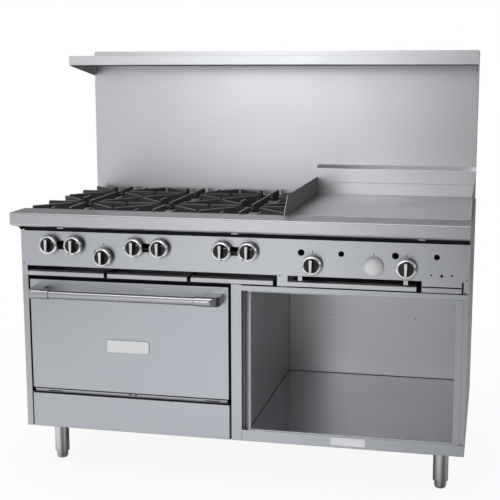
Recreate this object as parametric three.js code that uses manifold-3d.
// Commercial gas range, 60-inch class: six open burners, a griddle, one oven,
// an open storage cabinet, a high backguard with a shelf, on four legs.
// Millimetres, +Z up from the floor, +X to the right as seen by the cook, front faces -Y.
// Shapes are written in a front datum frame: Y = 0 is the plane of the control panel,
// the oven door and the kick panel. The outer group then moves everything so that
// the origin is the centre of the overall footprint.
// Offsets of about a millimetre or less sink joined parts into one another,
// or keep separate pieces just clear of each other.
import * as THREE from 'three';
import { mergeVertices } from 'three/addons/utils/BufferGeometryUtils.js';
import Module from 'manifold-3d';

const wasm = await Module();
wasm.setup();

// ---------------------------------------------------------- shared dimensions
const WIDTH = 1500;            // overall, X
const HEIGHT = 1448;           // floor to top of backguard
const FRONT = -84;             // front of the plate rail, Y
const BACK = 792;              // back of the body, Y
const HALF_W = WIDTH / 2;
const BODY_BOTTOM = 152;       // underside of the body
const SHEET = 2;               // sheet metal gauge, modelled
const GAP = 0.3;               // clearance between separate pieces
const INNER_X = HALF_W - SHEET - 2; // half width of what fits between the side panels

const PANEL_TOP = 842;         // control panel
const PANEL_WING = 686;        // its lower edge beside the openings
const PANEL_CUT = 722;         // top of the tray openings in it
const RAIL_TOP = 913;          // working height, top of the plate rail
const RAIL_BACK = 40;          // rear edge of the rail top
const FACE_Y = 42;             // oven face frame, behind the door
const BACKGUARD_Y = 734;       // front of the backguard
const DECK_TOP = 878;          // burner deck

const OVEN = { x0: -707, x1: -41, z0: 305, z1: 636, back: 604 };          // inside
const OVEN_MID_X = (OVEN.x0 + OVEN.x1) / 2;
const STORAGE = { x0: 43, x1: 731.5, z0: 193, z1: 663.5, back: 731 };     // inside

const COLUMN_X = [-587, -291.5, 4];   // burner columns
const ROW_Y = [206, 535.5];           // burner rows, front and rear

const VALVE_PAIR_X = [-600, -300, 0]; // middle of each pair of burner knobs
const VALVE_DX = 44;                  // from that middle to each knob
const VALVE_Z = 798;
const LOW_Z = 762;                    // oven and griddle knobs
const OVEN_KNOB_X = -453;
const GRIDDLE_KNOB_X = [253.5, 554];
const BURNER_KNOB_X = VALVE_PAIR_X.flatMap((x) => [x - VALVE_DX, x + VALVE_DX]);
const LOW_KNOB_X = [OVEN_KNOB_X, ...GRIDDLE_KNOB_X];

const SIDES = [-1, 1];

// -------------------------------------------------------------- solid helpers
// Welds a geometry's vertices, drops collapsed triangles and turns it outside out.
function solid(geometry) {
  geometry.deleteAttribute('normal');
  geometry.deleteAttribute('uv');
  const welded = mergeVertices(geometry, 1e-4);
  const index = welded.index.array;
  const p = welded.attributes.position.array;
  const triangles = [];
  let volume = 0; // six times the signed volume
  for (let i = 0; i < index.length; i += 3) {
    const corners = [index[i], index[i + 1], index[i + 2]];
    if (new Set(corners).size < 3) continue;
    triangles.push(...corners);
    const [a, b, c] = corners.map((corner) => corner * 3);
    volume += p[a] * (p[b + 1] * p[c + 2] - p[b + 2] * p[c + 1])
      - p[a + 1] * (p[b] * p[c + 2] - p[b + 2] * p[c])
      + p[a + 2] * (p[b] * p[c + 1] - p[b + 1] * p[c]);
  }
  if (volume < 0) {
    for (let i = 0; i < triangles.length; i += 3) {
      [triangles[i], triangles[i + 1]] = [triangles[i + 1], triangles[i]];
    }
  }
  return new wasm.Manifold(new wasm.Mesh({
    numProp: 3,
    vertProperties: new Float32Array(p),
    triVerts: new Uint32Array(triangles),
  }));
}

function toGeometry(manifold) {
  const mesh = manifold.getMesh();
  const geometry = new THREE.BufferGeometry();
  const positions = new Float32Array(mesh.vertProperties);
  geometry.setAttribute('position', new THREE.BufferAttribute(positions, 3));
  geometry.setIndex(new THREE.BufferAttribute(new Uint32Array(mesh.triVerts), 1));
  geometry.computeVertexNormals();
  return geometry;
}

const join = (first, ...rest) => rest.reduce((a, b) => a.add(b), first);
const cut = (first, ...rest) => rest.reduce((a, b) => a.subtract(b), first);

// a rectangular block between two corners; each pair may come in either order
function block(x0, x1, y0, y1, z0, z1) {
  const box = new THREE.BoxGeometry(Math.abs(x1 - x0), Math.abs(y1 - y0), Math.abs(z1 - z0));
  return solid(box.translate((x0 + x1) / 2, (y0 + y1) / 2, (z0 + z1) / 2));
}

// rows: the first three rows of the matrix that places the extrusion
function extrude(outline, depth, rows) {
  const shape = new THREE.Shape(outline.map(([a, b]) => new THREE.Vector2(a, b)));
  const geometry = new THREE.ExtrudeGeometry(shape, { depth, bevelEnabled: false });
  return solid(geometry.applyMatrix4(new THREE.Matrix4().set(...rows, 0, 0, 0, 1)));
}

const HOLE_OVERRUN = 3; // how far a hole cutter runs past each face

// an outline in (Y, Z) carried along X; the ends may come in either order
function alongX(outline, x0, x1) {
  const start = Math.min(x0, x1);
  return extrude(outline, Math.abs(x1 - x0), [0, 0, 1, start, 1, 0, 0, 0, 0, 1, 0, 0]);
}
// an outline in (X, Z) carried along Y, with openings cut right through
function alongY(outline, y0, y1, holes = []) {
  return cut(extrude(outline, y1 - y0, [1, 0, 0, 0, 0, 0, -1, y1, 0, 1, 0, 0]),
    ...holes.map((hole) => alongY(hole, y0 - HOLE_OVERRUN, y1 + HOLE_OVERRUN)));
}
// an outline in (X, Y) carried along Z, with openings cut right through
function alongZ(outline, z0, z1, holes = []) {
  return cut(extrude(outline, z1 - z0, [1, 0, 0, 0, 0, 1, 0, 0, 0, 0, 1, z0]),
    ...holes.map((hole) => alongZ(hole, z0 - HOLE_OVERRUN, z1 + HOLE_OVERRUN)));
}

// points on an arc, both ends included
function arc(cx, cy, radius, start, end, steps) {
  return Array.from({ length: steps + 1 }, (_, i) => {
    const angle = start + (end - start) * (i / steps);
    return [cx + radius * Math.cos(angle), cy + radius * Math.sin(angle)];
  });
}
const circle = (cx, cy, radius, segments = 12) =>
  arc(cx, cy, radius, 0, 2 * Math.PI, segments).slice(0, -1);
const rect = (a0, a1, b0, b1) => [[a0, b0], [a1, b0], [a1, b1], [a0, b1]];
function roundRect(a0, a1, b0, b1, radius, steps) {
  const centres = [
    [a1 - radius, b1 - radius], [a0 + radius, b1 - radius],
    [a0 + radius, b0 + radius], [a1 - radius, b0 + radius]];
  return centres.flatMap(([a, b], quarter) =>
    arc(a, b, radius, quarter * Math.PI / 2, (quarter + 1) * Math.PI / 2, steps));
}

// turned pieces, from a profile of [radius, height]
function lathe(profile, segments, turn) {
  const points = profile.map(([radius, height]) => new THREE.Vector2(radius, height));
  return solid(new THREE.LatheGeometry(points, segments).rotateX(turn));
}
// height points up
const turnedZ = (profile, segments) => lathe(profile, segments, Math.PI / 2);
// the lathe axis lies along Y and height points out of the front, along -Y
const turnedFront = (profile, segments) => lathe(profile, segments, Math.PI);

const rodX = (radius, x0, x1, y, z, segments) => alongX(circle(y, z, radius, segments), x0, x1);
const rodY = (radius, y0, y1, x, z, segments) => alongY(circle(x, z, radius, segments), y0, y1);

// ------------------------------------------------------------------ materials
function finish(name, settings) {
  const material = new THREE.MeshStandardMaterial(settings);
  material.name = name;
  return material;
}
const STAINLESS = finish('stainless', { color: 0xb4b6b8, roughness: 0.36, metalness: 0.9 });
const DARK_STEEL = finish('dark_steel', { color: 0x4a4c4e, roughness: 0.55, metalness: 0.8 });
const CAST_IRON = finish('cast_iron', { color: 0x2b2c2e, roughness: 0.75, metalness: 0.4 });
const CHROME = finish('chrome', { color: 0xc9cbce, roughness: 0.18, metalness: 1.0 });
const GRIDDLE_STEEL = finish('griddle_steel', { color: 0x8d9092, roughness: 0.3, metalness: 0.9 });
const GALVANISED = finish('galvanised', { color: 0x9a9d9f, roughness: 0.5, metalness: 0.8 });
const BADGE = finish('badge', { color: 0xd9dbdc, roughness: 0.4, metalness: 0.6 });

// ------------------------------------------------------- legs and under frame
const LEG_X = 673;
const LEG_Y = [117, 650]; // front, rear
const LEG_R = 25.4;
const LEG_BORE = 20.5;    // radius
const FOOT_R = 20;
const LEG_SPOTS = [
  ['front_left', -LEG_X, LEG_Y[0]], ['front_right', LEG_X, LEG_Y[0]],
  ['rear_left', -LEG_X, LEG_Y[1]], ['rear_right', LEG_X, LEG_Y[1]]];

// tube with a closed top, bored from below for the adjustable foot
function leg() {
  const bottom = 26;
  const top = BODY_BOTTOM + 1.7;
  const boreTop = 140;
  return turnedZ([[LEG_BORE, bottom], [LEG_R, bottom], [LEG_R, top], [0, top],
    [0, boreTop], [LEG_BORE, boreTop], [LEG_BORE, bottom]], 18);
}

function foot() {
  return turnedZ([[0, 0], [16, 0], [FOOT_R, 6], [FOOT_R, 50], [8, 52], [8, 110], [0, 110]], 18);
}

// ring with a front-to-back beam in the middle and a mounting pad over each leg
function baseFrame() {
  const [z0, z1] = [BODY_BOTTOM + 2, 184];
  const [y0, y1] = [5, 786];
  const bar = 30;
  const padThickness = 8;
  const ring = alongZ(rect(-INNER_X, INNER_X, y0, y1), z0, z1,
    [rect(-INNER_X + bar, INNER_X - bar, y0 + bar, y1 - bar)]);
  const beam = block(-bar / 2, bar / 2, y0 + 5, y1 - 5, z0, z1);
  const pads = SIDES.flatMap((side) => LEG_Y.map((y) =>
    block(side * (LEG_X - 45), side * (INNER_X - 5), y - 42, y + 42, z0, z0 + padThickness)));
  return join(ring, beam, ...pads);
}

// ---------------------------------------------------------------- body panels
// flat sheet with a folded front flange from the side to flangeX, between z0 and z1
function sidePanel(side, flangeX, z0, z1) {
  const top = 896;
  const front = SHEET + GAP;
  const rear = BACK - SHEET - 0.5;
  const outline = [[front, BODY_BOTTOM], [rear, BODY_BOTTOM], [rear, top],
    [RAIL_BACK + 4, top], [RAIL_BACK + 4, PANEL_TOP - 4], [front, PANEL_TOP - 4]];
  const outer = side * HALF_W;
  const inner = side * (HALF_W - SHEET);
  return join(
    alongX(outline, inner, outer),
    block(flangeX, outer, 0, SHEET, z0, z1),
    // bridge between the sheet and its flange
    block(inner + side * 0.3, outer - side * 0.3, 0.5, 6, z0 + 0.5, z1 - 0.5));
}

// back sheet with two rows of slots
function rearPanel() {
  const slotPitch = 248;
  const [slotW, slotH] = [120, 12];
  const slots = [];
  for (const z of [300, 720]) {
    for (let i = 0; i < 6; i++) {
      const x = (i - 2.5) * slotPitch;
      slots.push(rect(x - slotW / 2, x + slotW / 2, z - slotH / 2, z + slotH / 2));
    }
  }
  return alongY(rect(-HALF_W + 1, HALF_W - 1, BODY_BOTTOM, 893), BACK - SHEET, BACK, slots);
}

// face frame around the oven mouth, door hinge shelf, centre stile, storage
// header and the rail under the storage cabinet, in one frame
function frontFrame() {
  const [stileX0, stileX1] = [-16, 19];
  const face = alongY(rect(-HALF_W + SHEET + 1, stileX0 + 4, 262, PANEL_WING),
    FACE_Y, FACE_Y + SHEET, [rect(OVEN.x0, OVEN.x1, OVEN.z0, OVEN.z1)]);
  const hingeShelf = alongZ(rect(-727, stileX0 + 1, SHEET + 1, FACE_Y + 1), 266, 268,
    [rect(-655, -610, 14, 34), rect(-138, -93, 14, 34)]);
  // upright strips behind the two ends of the kick panel
  const kickStrip = (x0, x1) => block(x0, x1, 2.6, 4.6, BODY_BOTTOM + 2, 267.4);
  const bottom = BODY_BOTTOM + 0.3;
  const lowerRail = [[0.2, bottom], [18, bottom], [18, bottom + 1.5],
    [2.2, bottom + 1.5], [2.2, 190.5], [0.2, 190.5]];
  const foldLeft = stileX0 + 0.3;
  const foldRight = stileX1 - 0.3;
  return join(face, hingeShelf,
    block(stileX0, stileX1, 0, SHEET, BODY_BOTTOM, PANEL_WING),
    kickStrip(-40, stileX0 + 1.6),
    kickStrip(-745, -715),
    // folds running back from the stile's left and right edges
    block(foldLeft, foldLeft + SHEET, 0.7, FACE_Y + 1.3, 186, PANEL_WING - 0.7),
    block(foldRight - SHEET, foldRight, 0.7, 22, 187, PANEL_WING - 1.2),
    // strip turned to the right from the back of the right fold
    block(stileX1 - 1.5, 38, 20.5, 22.5, 192, 668),
    // storage header
    block(stileX1 - 1, HALF_W, 0.2, SHEET + 0.2, 666, 683),
    alongX(lowerRail, stileX1 - 1, HALF_W - 2.6),
    // right end of the lower rail
    block(HALF_W - 3, HALF_W, 0.4, SHEET, BODY_BOTTOM + 0.5, 190.3));
}

// upright sheet with its lower edge folded back
function kickPanel() {
  const top = 271.5;
  const foldTop = BODY_BOTTOM + 1.6;
  return alongX([[0, BODY_BOTTOM], [20, BODY_BOTTOM], [20, foldTop], [SHEET, foldTop],
    [SHEET, top], [0, top]], -724.6, -23.3);
}

// open-fronted box with a front flange down each side
function storageLiner() {
  const { x0, x1, z0, z1, back } = STORAGE;
  const outer = block(x0 - SHEET, x1 + SHEET, 0.5, back + SHEET, z0 - SHEET, z1 + SHEET);
  const inner = block(x0, x1, -5, back, z0, z1);
  const flange = (from, to) => block(from, to, 0, SHEET, z0 - SHEET + 0.4, z1 + SHEET - 0.4);
  return join(cut(outer, inner), flange(37.5, 51), flange(711, x1 + SHEET + 0.3));
}

// ----------------------------------------------------------------------- oven
const RACK_Z = 430;      // top of the middle pair of guides
const GUIDE_PITCH = 90;

function ovenLiner() {
  const { x0, x1, z0, z1, back } = OVEN;
  const outer = block(x0 - SHEET, x1 + SHEET, FACE_Y + SHEET + GAP, back + SHEET,
    z0 - SHEET, z1 + SHEET);
  const inner = block(x0, x1, FACE_Y - 10, back, z0, z1);
  const guide = (from, to, z) => block(from, to, FACE_Y + 30, back - 12, z - 5, z);
  const guides = [-1, 0, 1].flatMap((level) => {
    const z = RACK_Z + level * GUIDE_PITCH;
    return [guide(x0 - 1, x0 + 14, z), guide(x1 - 14, x1 + 1, z)];
  });
  return join(cut(outer, inner), ...guides);
}

// wire rack resting on the middle pair of guides
function ovenRack() {
  const wire = 6;
  const [x0, x1] = [OVEN.x0 + 6, OVEN.x1 - 6];
  const [y0, y1] = [94, 588];
  const z0 = RACK_Z + 0.5;
  const z1 = z0 + wire;
  const wires = [
    // rim: front, rear, left, right
    block(x0, x1, y0, y0 + wire, z0, z1),
    block(x0, x1, y1 - wire, y1, z0, z1),
    block(x0, x0 + wire, y0 + 1, y1 - 1, z0 + 0.5, z1 - 0.5),
    block(x1 - wire, x1, y0 + 1, y1 - 1, z0 + 0.5, z1 - 0.5),
    // cross wire midway back
    block(x0 + 2, x1 - 2, 338, 344, z0 + 0.2, z1 - 1.6)];
  const bays = 12;
  for (let i = 1; i < bays; i++) {
    const x = x0 + ((x1 - x0) * i) / bays;
    wires.push(block(x - 2.4, x + 2.4, y0 + 2, y1 - 2, z0 + 1.4, z1 - 0.4));
  }
  return join(...wires);
}

// tube burner under the oven floor
function ovenBurner() {
  const z = 236;
  const [left, right] = [OVEN_MID_X - 90, OVEN_MID_X + 90];
  const crossY = 150;
  return join(
    rodY(17, 120, 560, left, z, 12),
    rodY(17, 120, 560, right, z, 12),
    rodX(13, left, right, crossY, z, 12),
    rodY(13, 60, crossY, OVEN_MID_X, z, 12));
}

// ------------------------------------------------------------------ oven door
const DOOR = { x0: -723.5, x1: -24.5, z0: 291.5, z1: 674, thickness: 40 };
const HINGE_Y = 18;
const HINGE_Z = 290;
const ROLL_R = 18;              // rolled lower edge, around the hinge axis

const HANDLE_Y = -65;
const HANDLE_Z = 637;
const HANDLE_R = 14;
const HANDLE_X = [-706, -42];   // outer faces of the left and right brackets
const BRACKET_R = 16;           // half the height of a bracket, and its rounded front
const BRACKET_REACH = 78.5;     // from its outer face to its tip

// pan-shaped outer skin; its lower edge is rolled round the hinge axis, so no
// gap opens as it swings
function doorOuterPanel() {
  const { x0, x1, z0, z1, thickness } = DOOR;
  const pan = cut(
    block(x0, x1, 0, thickness - 2.5, z0, z1),
    block(x0 + SHEET, x1 - SHEET, SHEET, thickness, z0 + SHEET, z1 - SHEET));
  const roll = [
    ...arc(HINGE_Y, HINGE_Z, ROLL_R, 1.035 * Math.PI, 1.5 * Math.PI, 8),
    ...arc(HINGE_Y, HINGE_Z, ROLL_R - SHEET + 0.2, 1.49 * Math.PI, 1.03 * Math.PI, 8)];
  return join(pan,
    alongX(roll, x0 + 8, x1 - 6),
    // strip between the roll and the pan
    block(x0 + 8.5, x1 - 6.5, 1.1, 2.6, HINGE_Z - 2.6, z0 + 1));
}

// flat sheet with a shallow tray set into the door on its front side
function doorInnerPanel() {
  const { x0, x1, z0, z1, thickness } = DOOR;
  const inset = (edge, front, back) =>
    block(x0 + edge, x1 - edge, front, back, z0 + edge, z1 - edge);
  return join(
    inset(1, thickness - SHEET, thickness),
    cut(inset(40, 10, thickness - 1), inset(40 + SHEET, 8, thickness - SHEET)));
}

// elbow that carries one end of the handle; inward is +1 on the left, -1 on the right
function handleBracket(inward, outerX) {
  const front = HANDLE_Y - BRACKET_R;
  const armBack = front + 2 * BRACKET_R;
  const outerBend = 40;
  const innerBend = 10;
  const footWidth = 46;
  // plan view: distance inward from the outer face, and Y
  const plan = [
    [0, -GAP],
    ...arc(outerBend, front + outerBend, outerBend, Math.PI, 1.5 * Math.PI, 5),
    [BRACKET_REACH, front], [BRACKET_REACH, armBack],
    ...arc(footWidth + innerBend, armBack + innerBend, innerBend, 1.5 * Math.PI, Math.PI, 2),
    [footWidth, -GAP]];
  // side view, rounded at the front
  const nose = [
    [-GAP, HANDLE_Z - BRACKET_R], [-GAP, HANDLE_Z + BRACKET_R],
    ...arc(HANDLE_Y, HANDLE_Z, BRACKET_R, Math.PI / 2, 1.5 * Math.PI, 8)];
  const elbow = alongZ(plan.map(([x, y]) => [outerX + inward * x, y]),
    HANDLE_Z - BRACKET_R - 5, HANDLE_Z + BRACKET_R + 5)
    .intersect(alongX(nose, outerX - 100, outerX + 100));
  // pocket for the end of the bar
  return cut(elbow, rodX(HANDLE_R + 0.5, outerX + inward * 48,
    outerX + inward * (BRACKET_REACH + 5), HANDLE_Y, HANDLE_Z, 20));
}

function doorHandleBar() {
  return rodX(HANDLE_R, HANDLE_X[0] + 50, HANDLE_X[1] - 50, HANDLE_Y, HANDLE_Z, 20);
}

// thin plate just in front of Y = 0
const badge = (...outline) => alongY(roundRect(...outline), -2.3, -GAP);

// -------------------------------------------------------------- control panel
// lower and upper edges, left to right and back: [x, z]
const PANEL_OUTLINE = [
  [-HALF_W, PANEL_WING], [-730, PANEL_WING], [-730, PANEL_CUT], [138, PANEL_CUT],
  [138, PANEL_WING], [172.5, PANEL_WING], [172.5, PANEL_CUT], [602, PANEL_CUT],
  [602, PANEL_WING], [726.5, PANEL_WING], [726.5, PANEL_CUT], [732, PANEL_CUT],
  [732, PANEL_WING], [HALF_W, PANEL_WING], [HALF_W, PANEL_TOP], [-HALF_W, PANEL_TOP]];
// round holes on the right half: [x, z, radius, segments]
const PANEL_HOLES = [
  [216.6, 799.3, 10.8, 12], [346.2, 799.3, 9.2, 12],
  [518.1, 799.3, 10.8, 12], [647.2, 799.3, 9.2, 12],
  [631, 742, 2.6, 8], [663.5, 740, 4.3, 8], [695, 742, 2.6, 8]];
const STEM_R = 4;
const STEM_HOLE_R = 7;
const KNOB_R = 33.4;
const CAP_X = 450;

function controlPanel() {
  const holes = [
    ...BURNER_KNOB_X.map((x) => circle(x, VALVE_Z, STEM_HOLE_R)),
    ...VALVE_PAIR_X.map((x) => rect(x - 30, x + 30, 781, 810)),
    ...LOW_KNOB_X.map((x) => circle(x, LOW_Z, STEM_HOLE_R)),
    ...PANEL_HOLES.map((hole) => circle(...hole))];
  return join(
    alongY(PANEL_OUTLINE, 0, SHEET, holes),
    // flange running back along the top edge
    block(-HALF_W + 4, HALF_W - 4, 0.5, 30, PANEL_TOP - 2.4, PANEL_TOP - 0.4));
}

// flared skirt on a stem, with a grip bar across the front
function knob() {
  const skirt = turnedFront([[0, -11], [STEM_R, -11], [STEM_R, 2.4], [29.6, 2.4],
    [KNOB_R, 18.5], [KNOB_R - 0.4, 22], [27.5, 27.5], [0, 24.6]], 18);
  const grip = alongX([[-22, -22], [-22, 22], [-45.4, 20], [-45.4, -20]], -5.5, 5.5);
  return join(skirt, grip);
}

// domed cap closing the spare valve position
function valveHoleCap() {
  return turnedFront([[0, GAP], [33, GAP], [32.5, 6], [27.5, 15.5], [16, 22.5], [0, 25]], 18);
}

// pipe behind the panel with a valve block at each knob, and a run to the rear
function gasManifold() {
  const y = 34;
  const z = 780;
  const pipeR = 11;
  const valve = (x, z0, z1) => block(x - 12, x + 12, 13, 40, z0, z1);
  return join(
    rodX(pipeR, -672, 641, y, z, 12),
    rodY(pipeR, y - 4, 780, 632, z, 12),
    ...BURNER_KNOB_X.map((x) => valve(x, z - 4, VALVE_Z + 12)),
    ...LOW_KNOB_X.map((x) => valve(x, LOW_Z - 12, z + 4)));
}

// ----------------------------------------------------------------- plate rail
// folded sheet: flat top, rounded nose, upright face, underside sloping back
function plateRail() {
  // [y, z], outer face from the top rear edge round to the underside
  const outer = [
    [RAIL_BACK, RAIL_TOP], [FRONT + 5, RAIL_TOP], [FRONT + 1.5, RAIL_TOP - 1.5],
    [FRONT, RAIL_TOP - 5], [FRONT, 875], [FRONT + 2, 871.5], [-70, 868.2], [-18, 858]];
  // [y, z], inner face back to the top
  const inner = [
    [-18, 860.4], [-69.6, 870.6], [FRONT + 3.4, 873.6], [FRONT + 2.2, 876],
    [FRONT + 2.2, RAIL_TOP - 5.4], [FRONT + 3.2, RAIL_TOP - 3.2],
    [FRONT + 5.4, RAIL_TOP - 2.2], [RAIL_BACK, RAIL_TOP - 2.2]];
  // [y, z], plate closing each end
  const end = [
    [RAIL_BACK - 0.4, RAIL_TOP - 0.4], [FRONT + 5.2, RAIL_TOP - 0.4],
    [FRONT + 1.9, RAIL_TOP - 1.9], [FRONT + 0.4, RAIL_TOP - 5.2],
    [FRONT + 0.4, 875.3], [FRONT + 2.3, 872.2], [-70, 869], [-18, 856],
    [0, PANEL_TOP + GAP], [RAIL_BACK - 0.4, PANEL_TOP + GAP]];
  return join(
    alongX([...outer, ...inner], -HALF_W + 0.5, HALF_W - 0.5),
    // upright web under the top
    block(-HALF_W + 1, HALF_W - 1, 18, 20, PANEL_TOP + GAP + 0.2, RAIL_TOP - 1),
    ...SIDES.map((side) => alongX(end, side * HALF_W, side * (HALF_W - SHEET))),
    // tabs from the underside back to the web
    ...[-600, 0, 600].map((x) => block(x - 11, x + 11, -19, 19, 853.5, 859)));
}

// ---------------------------------------------------------------- burner area
const GRATE_TOP = 920;
const GRATE_W = 290;
const GRATE_D = 326;
const GRATE_BAR = 9;       // width of the rim
const FINGER_HALF_W = 4;
const BURNER_TOP = 893;
const BURNER_R = 43;
const TUBE_FRONT_Y = 76;   // front end of the mixing tubes

// deck with a round opening for each burner, on four walls
function burnerBox() {
  const [x0, x1] = [-INNER_X, 149.5];
  const holes = COLUMN_X.flatMap((x) => ROW_Y.map((y) => circle(x, y, 108, 16)));
  const sideWall = (x) => block(x, x + 2, 60.5, 701.5, 728, DECK_TOP - 0.7);
  return join(
    alongZ(rect(x0, x1, RAIL_BACK + 2, 701), DECK_TOP - 2, DECK_TOP, holes),
    // front and rear walls
    block(x0 + 2, x1 - 2, 60, 62, 727, DECK_TOP - 1),
    block(x0 + 2.5, x1 - 2.5, 700, 702, 729, 897),
    sideWall(x0 + 1),
    sideWall(x1 - 3),
    // ledge from the rear wall to the backguard
    block(x0, x1, 699.5, BACKGUARD_Y - 0.5, 896, 898));
}

// rim with upright finger bars running in to a clear space at the middle
function grate() {
  const halfW = GRATE_W / 2;
  const halfD = GRATE_D / 2;
  const z0 = DECK_TOP + 0.4;
  const rim = alongZ(rect(-halfW, halfW, -halfD, halfD), z0, z0 + 13,
    [rect(-halfW + GRATE_BAR, halfW - GRATE_BAR, -halfD + GRATE_BAR, halfD - GRATE_BAR)]);
  // straight finger; its inner tip is undercut so that it clears the burner head
  const straight = (side, outer, tip) => [
    [side * outer, z0 + 1.2], [side * outer, GRATE_TOP], [side * tip, GRATE_TOP],
    [side * tip, 899], [side * 52, 896.5], [side * 62, z0 + 1.2]];
  // diagonal finger from (endX, endY) towards the middle, stopping at innerR
  const diagonal = (endX, endY) => {
    const innerR = 60;
    const length = Math.hypot(endX, endY);
    const [dirX, dirY] = [endX / length, endY / length];
    const [acrossX, acrossY] = [-dirY * FINGER_HALF_W, dirX * FINGER_HALF_W];
    const [startX, startY] = [dirX * innerR, dirY * innerR];
    return alongZ([
      [startX + acrossX, startY + acrossY], [startX - acrossX, startY - acrossY],
      [endX - acrossX, endY - acrossY], [endX + acrossX, endY + acrossY]],
    z0 + 1.6, GRATE_TOP);
  };
  const bars = [];
  for (const side of SIDES) {
    bars.push(
      alongX(straight(side, halfD - 0.6, 29), -FINGER_HALF_W, FINGER_HALF_W),
      alongY(straight(side, halfW - 0.6, 41), -FINGER_HALF_W, FINGER_HALF_W));
    for (const end of SIDES) {
      const stubX = side * 64;
      bars.push(
        diagonal(side * (halfW - 5.5), end * (halfD - 16)),
        // short stub inward from the front or rear of the rim
        block(stubX - FINGER_HALF_W, stubX + FINGER_HALF_W,
          end * (halfD - 34), end * (halfD - 0.8), z0 + 1, GRATE_TOP - 3));
    }
  }
  return join(rim, ...bars);
}

// bowl, head, and a mixing tube set off to one side that runs forward to its valve
function burner(side, rowY) {
  const head = turnedZ([[0, 846], [24, 846], [27, 874], [BURNER_R, 882], [BURNER_R, 889],
    [BURNER_R - 3, BURNER_TOP], [0, BURNER_TOP]], 14);
  return join(head,
    block(0, side * (VALVE_DX + 9), -9, 9, 849, 867),
    rodY(11, TUBE_FRONT_Y - rowY, 9, side * VALVE_DX, 858, 10));
}

// ---------------------------------------------------------------------- trays
const TRAY_X = [[-730, -456], [-444, -166], [-153, 124]];
const TRAY_Z0 = 688;
const TRAY_Z1 = 708;
const DRAWER_X0 = 173;
const DRAWER_X1 = 586;

// upright front lip with a short ledge sloping up to the rear
function trayLip(x0, x1, y) {
  return alongX([[y, TRAY_Z0], [y + 2, TRAY_Z0], [y + 2, 701.2], [y + 9, 707],
    [y + 8, TRAY_Z1], [y, 702]], x0, x1);
}
// open-topped pan
function pan(x0, x1, y0, y1, z0, z1) {
  return cut(block(x0, x1, y0, y1, z0, z1),
    block(x0 + SHEET, x1 - SHEET, y0 + SHEET, y1 - SHEET, z0 + SHEET, z1 + 5));
}
function dripTray(x0, x1) {
  return join(pan(x0 + 2, x1 - 2, 0.5, 640, TRAY_Z0 + 0.5, 700), trayLip(x0, x1, 0));
}
// pan and lip, with two upright tabs above
function greaseDrawer() {
  const tab = (x) => block(x, x + 14, 2.4, 4, 704, PANEL_CUT - 0.7);
  return join(
    pan(DRAWER_X0 + 6, DRAWER_X1 - 6, -3.5, 560, TRAY_Z0 + 0.5, 701),
    trayLip(DRAWER_X0, DRAWER_X1, -4),
    tab(206),
    tab(545));
}

// -------------------------------------------------------------------- griddle
const GRIDDLE = { x0: 154, x1: 744, y0: 105, y1: 715, top: 906, thickness: 19 };

function griddlePlate() {
  const { x0, x1, y0, y1, top, thickness } = GRIDDLE;
  return block(x0, x1, y0, y1, top - thickness, top);
}

// side walls, rear wall with a sloping cap, and the front trough
function griddleSplash() {
  const [x0, x1] = [GRIDDLE.x0 - 3.5, GRIDDLE.x1 + 3];
  const [plateFront, plateBack] = [GRIDDLE.y0, GRIDDLE.y1];
  const front = RAIL_BACK + 1;
  const sideBack = BACKGUARD_Y - 0.5;
  const capBack = BACKGUARD_Y - 0.8;
  const side = [[front, 878], [sideBack, 878], [sideBack, 971], [109, 971],
    [front, RAIL_TOP + 1]];
  const rear = [[plateBack + 1, 880], [plateBack + 3, 880], [plateBack + 3, 1002.5],
    [capBack, 1016], [capBack, 1018], [plateBack + 1, 1003.5]];
  const trough = [
    [front + 0.6, RAIL_TOP - 3], [front + 0.6, 879], [plateFront - 1, 879],
    [plateFront - 1, GRIDDLE.top - 6], [plateFront - 3, GRIDDLE.top - 6],
    [plateFront - 3, 881], [front + 2.6, 881], [front + 2.6, RAIL_TOP - 3]];
  return join(
    alongX(side, x0, x0 + SHEET),
    alongX(side, x1 - SHEET, x1),
    alongX(rear, x0 + 0.7, x1 - 0.7),
    alongX(trough, x0 + 0.7, x1 - 0.7));
}

function griddleBurner() {
  const z = 852;
  const [left, right] = [300, 600];
  return join(
    rodY(14, 110, 640, left, z, 12),
    rodY(14, 110, 640, right, z, 12),
    rodX(11, left, right, 130, z, 12));
}

// -------------------------------------------------------- backguard and shelf
// hollow box with rounded upper corners, open at the bottom
function backguard() {
  const halfW = 747;
  const cornerR = 9;
  const bottom = 897.5;
  const arch = (inset, z0) => {
    const right = [[halfW - inset, z0],
      ...arc(halfW - cornerR, HEIGHT - cornerR, cornerR - inset, 0, Math.PI / 2, 4)];
    return [...right, ...right.map(([x, z]) => [-x, z]).reverse()];
  };
  return cut(
    alongY(arch(0, bottom), BACKGUARD_Y, BACK),
    alongY(arch(SHEET, bottom - 8), BACKGUARD_Y + SHEET, BACK - SHEET));
}

// one folded sheet with a front lip and a small hem, plus end gussets
function highShelf() {
  const front = 476;
  const top = 1428;
  const lip = 1391;
  const back = BACKGUARD_Y - 0.5;
  const fold = [[back, top], [front, top], [front, lip], [front + 16, lip],
    [front + 16, lip + 1.6], [front + SHEET, lip + 1.6], [front + SHEET, top - SHEET],
    [back, top - SHEET]];
  const gusset = [[front + 1, lip + 0.6], [back - 0.5, 1354], [back - 0.5, top - 1],
    [front + 1, top - 1]];
  const gussetX = HALF_W - 2;
  return join(
    alongX(fold, -HALF_W, HALF_W),
    ...SIDES.map((side) => alongX(gusset, side * gussetX, side * (gussetX - SHEET))));
}

// ------------------------------------------------------------------- assembly
const range = new THREE.Group();
range.name = 'gas_range';
range.position.y = -(FRONT + BACK) / 2;

function section(name) {
  const group = new THREE.Group();
  group.name = name;
  range.add(group);
  return group;
}
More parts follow.
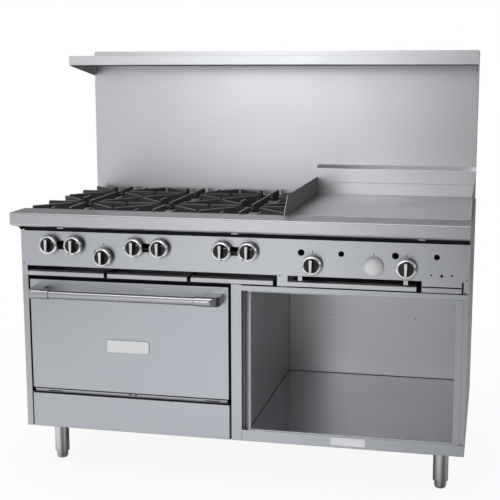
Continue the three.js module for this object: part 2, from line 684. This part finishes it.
// shape: a manifold, or a geometry shared by several meshes
function put(group, name, shape, material, x = 0, y = 0, z = 0) {
  const geometry = shape instanceof THREE.BufferGeometry ? shape : toGeometry(shape);
  const mesh = new THREE.Mesh(geometry, material);
  mesh.name = name;
  mesh.position.set(x, y, z);
  group.add(mesh);
}

const body = section('body');
const top = section('top_section');
const door = section('oven_door');
const controls = section('controls');
const trays = section('trays');
const legs = section('legs');

put(body, 'base_frame', baseFrame(), GALVANISED);
put(body, 'left_side_panel', sidePanel(-1, -729, BODY_BOTTOM, PANEL_WING - GAP), STAINLESS);
put(body, 'right_side_panel', sidePanel(1, 734, 192.5, 665.5), STAINLESS);
put(body, 'rear_panel', rearPanel(), GALVANISED);
put(body, 'front_frame', frontFrame(), STAINLESS);
put(body, 'kick_panel', kickPanel(), STAINLESS);
put(body, 'storage_liner', storageLiner(), STAINLESS);
put(body, 'oven_liner', ovenLiner(), DARK_STEEL);
put(body, 'oven_burner', ovenBurner(), DARK_STEEL);
put(body, 'storage_badge', badge(318.5, 432, 161.4, 188, 2, 2), BADGE);
put(body, 'backguard', backguard(), STAINLESS);
put(body, 'high_shelf', highShelf(), STAINLESS);

put(door, 'door_outer_panel', doorOuterPanel(), STAINLESS);
put(door, 'door_inner_panel', doorInnerPanel(), GALVANISED);
put(door, 'handle_bracket_left', handleBracket(1, HANDLE_X[0]), STAINLESS);
put(door, 'handle_bracket_right', handleBracket(-1, HANDLE_X[1]), STAINLESS);
put(door, 'door_handle_bar', doorHandleBar(), STAINLESS);
put(door, 'door_badge', badge(-450, -301, 431.5, 475, 6, 3), BADGE);

put(controls, 'control_panel', controlPanel(), STAINLESS);
const knobShape = toGeometry(knob());
const KNOBS = [
  ...BURNER_KNOB_X.map((x, i) => [`burner_${i + 1}`, x, VALVE_Z]),
  ['oven', OVEN_KNOB_X, LOW_Z],
  ...GRIDDLE_KNOB_X.map((x, i) => [`griddle_${i + 1}`, x, LOW_Z])];
for (const [name, x, z] of KNOBS) put(controls, `knob_${name}`, knobShape, CHROME, x, 0, z);
put(controls, 'valve_hole_cap', valveHoleCap(), STAINLESS, CAP_X, 0, LOW_Z);
put(controls, 'gas_manifold', gasManifold(), DARK_STEEL);

put(top, 'plate_rail', plateRail(), STAINLESS);
put(top, 'burner_box', burnerBox(), DARK_STEEL);
const COLUMN_NAMES = ['left', 'middle', 'right'];
const grateShape = toGeometry(grate());
const ROWS = [
  { row: 'front', y: ROW_Y[0], burnerShape: toGeometry(burner(-1, ROW_Y[0])) },
  { row: 'rear', y: ROW_Y[1], burnerShape: toGeometry(burner(1, ROW_Y[1])) }];
COLUMN_X.forEach((x, i) => {
  for (const { row, y } of ROWS) {
    put(top, `grate_${row}_${COLUMN_NAMES[i]}`, grateShape, CAST_IRON, x, y);
  }
  for (const { row, y, burnerShape } of ROWS) {
    put(top, `burner_${row}_${COLUMN_NAMES[i]}`, burnerShape, CAST_IRON, x, y);
  }
});
put(top, 'griddle_plate', griddlePlate(), GRIDDLE_STEEL);
put(top, 'griddle_splash', griddleSplash(), STAINLESS);
put(top, 'griddle_burner', griddleBurner(), DARK_STEEL);

put(trays, 'oven_rack', ovenRack(), CHROME);
TRAY_X.forEach(([x0, x1], i) => {
  put(trays, `drip_tray_${COLUMN_NAMES[i]}`, dripTray(x0, x1), STAINLESS);
});
put(trays, 'grease_drawer', greaseDrawer(), STAINLESS);

const legShape = toGeometry(leg());
const footShape = toGeometry(foot());
for (const [spot, x, y] of LEG_SPOTS) {
  put(legs, `leg_${spot}`, legShape, CHROME, x, y);
  put(legs, `foot_${spot}`, footShape, CHROME, x, y);
}

export default range;
